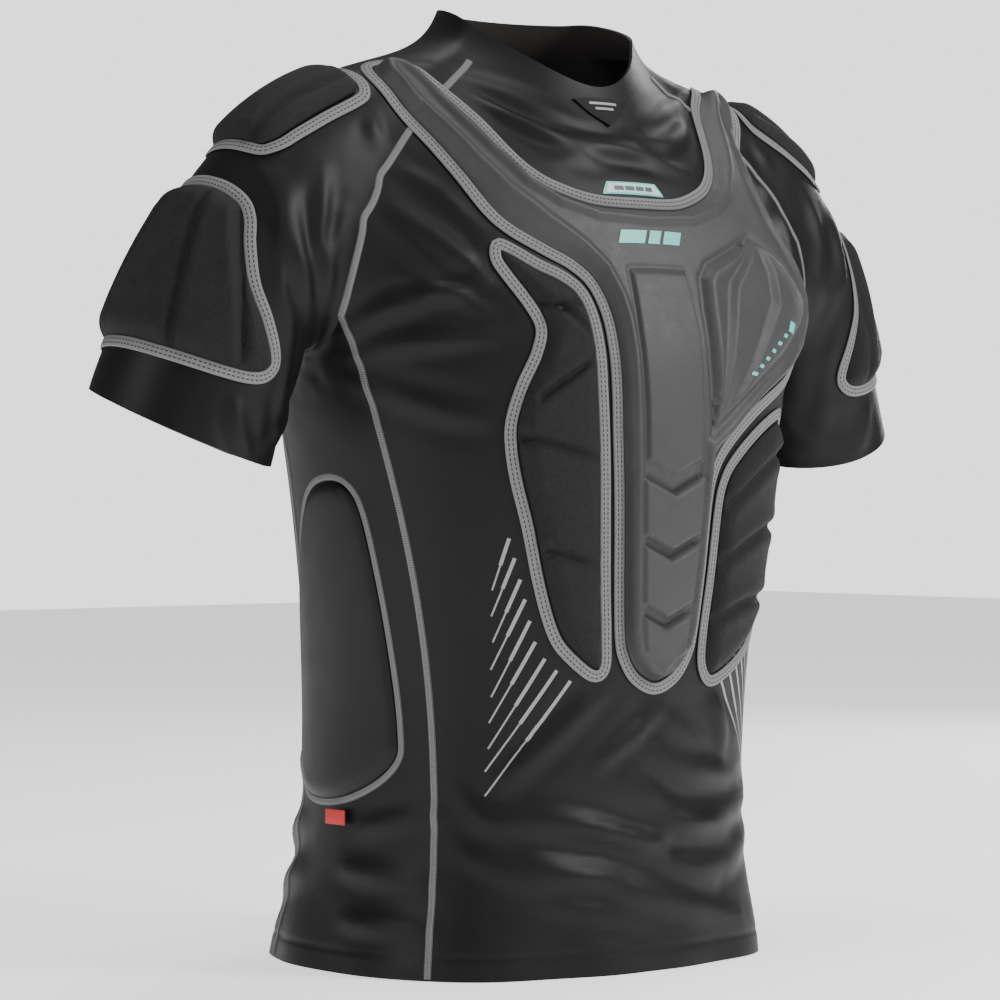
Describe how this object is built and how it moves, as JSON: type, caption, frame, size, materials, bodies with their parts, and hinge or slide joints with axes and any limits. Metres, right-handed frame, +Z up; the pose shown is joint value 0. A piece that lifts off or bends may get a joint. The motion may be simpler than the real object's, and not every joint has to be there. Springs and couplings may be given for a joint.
{
  "type": "hockey shoulder pad shirt",
  "caption": "Short-sleeved stretch shirt with a moulded chest plate and sewn-on rib, side, spine, shoulder and upper-arm pads, for ice hockey.",
  "frame": {"origin": "middle of the shirt's footprint, on the plane that the hem stands on", "axes": "+Z up, the wearer faces -Y, the wearer's left is +X"},
  "size_m": [0.6888, 0.3212, 0.6505],
  "materials": {
    "stretch_cloth": "satin knitted stretch cloth",
    "pad_cloth": "brushed matt cloth laminated to foam",
    "moulded_foam": "moulded foam with a fine matt grain",
    "core_foam": "cut foam sheet",
    "grey_tape": "woven binding tape with stitching",
    "teal_print": "moulded or printed turquoise accent",
    "red_label": "woven label"
  },
  "bodies": {
    "torso": {"front_panel": "stretch_cloth", "back_panel": "stretch_cloth", "side_panel_right": "stretch_cloth", "side_panel_left": "stretch_cloth", "hem_band": "stretch_cloth", "collar_band": "stretch_cloth", "collar_patch": "stretch_cloth", "sleeve_head_right": "stretch_cloth", "sleeve_head_left": "stretch_cloth", "chest_plate": "moulded_foam", "chest_plate_foam": "core_foam", "chest_plate_binding": "grey_tape", "chest_mark": "teal_print", "wing_mark": "teal_print", "neck_tab": "teal_print", "rib_pad_right": "pad_cloth", "rib_foam_right": "core_foam", "rib_binding_right": "grey_tape", "rib_pad_left": "pad_cloth", "rib_foam_left": "core_foam", "rib_binding_left": "grey_tape", "side_pad_right": "pad_cloth", "side_pad_left": "pad_cloth", "spine_pad": "pad_cloth", "spine_foam": "core_foam", "spine_binding": "grey_tape", "shoulder_cap_right": "pad_cloth", "shoulder_foam_right": "core_foam", "shoulder_binding_right": "grey_tape", "shoulder_cap_left": "pad_cloth", "shoulder_foam_left": "core_foam", "shoulder_binding_left": "grey_tape"},
    "sleeve_right": {"sleeve_end_right": "stretch_cloth", "cuff_right": "stretch_cloth", "bicep_pad_right": "pad_cloth", "bicep_foam_right": "core_foam", "bicep_binding_right": "grey_tape"},
    "sleeve_left": {"sleeve_end_left": "stretch_cloth", "cuff_left": "stretch_cloth", "bicep_pad_left": "pad_cloth", "bicep_foam_left": "core_foam", "bicep_binding_left": "grey_tape"},
    "side_tag": {"side_tag": "red_label"}
  },
  "joints": [
    {"name": "sleeve_raise_right", "type": "hinge", "parent": "torso", "child": "sleeve_right", "pos_m": [-0.208, -0.00338, 0.522], "axis": [0, 1, 0], "range_deg": [0, 45], "deforming": ["sleeve_head_right", "bicep_pad_right", "bicep_foam_right", "bicep_binding_right"]},
    {"name": "sleeve_raise_left", "type": "hinge", "parent": "torso", "child": "sleeve_left", "pos_m": [0.208, -0.00338, 0.522], "axis": [0, -1, 0], "range_deg": [0, 45], "deforming": ["sleeve_head_left", "bicep_pad_left", "bicep_foam_left", "bicep_binding_left"]},
    {"name": "side_tag_flip", "type": "hinge", "parent": "torso", "child": "side_tag", "pos_m": [-0.15755, 0.01062, 0.1075], "axis": [0, 1, 0], "range_deg": [0, 80]}
  ]
}
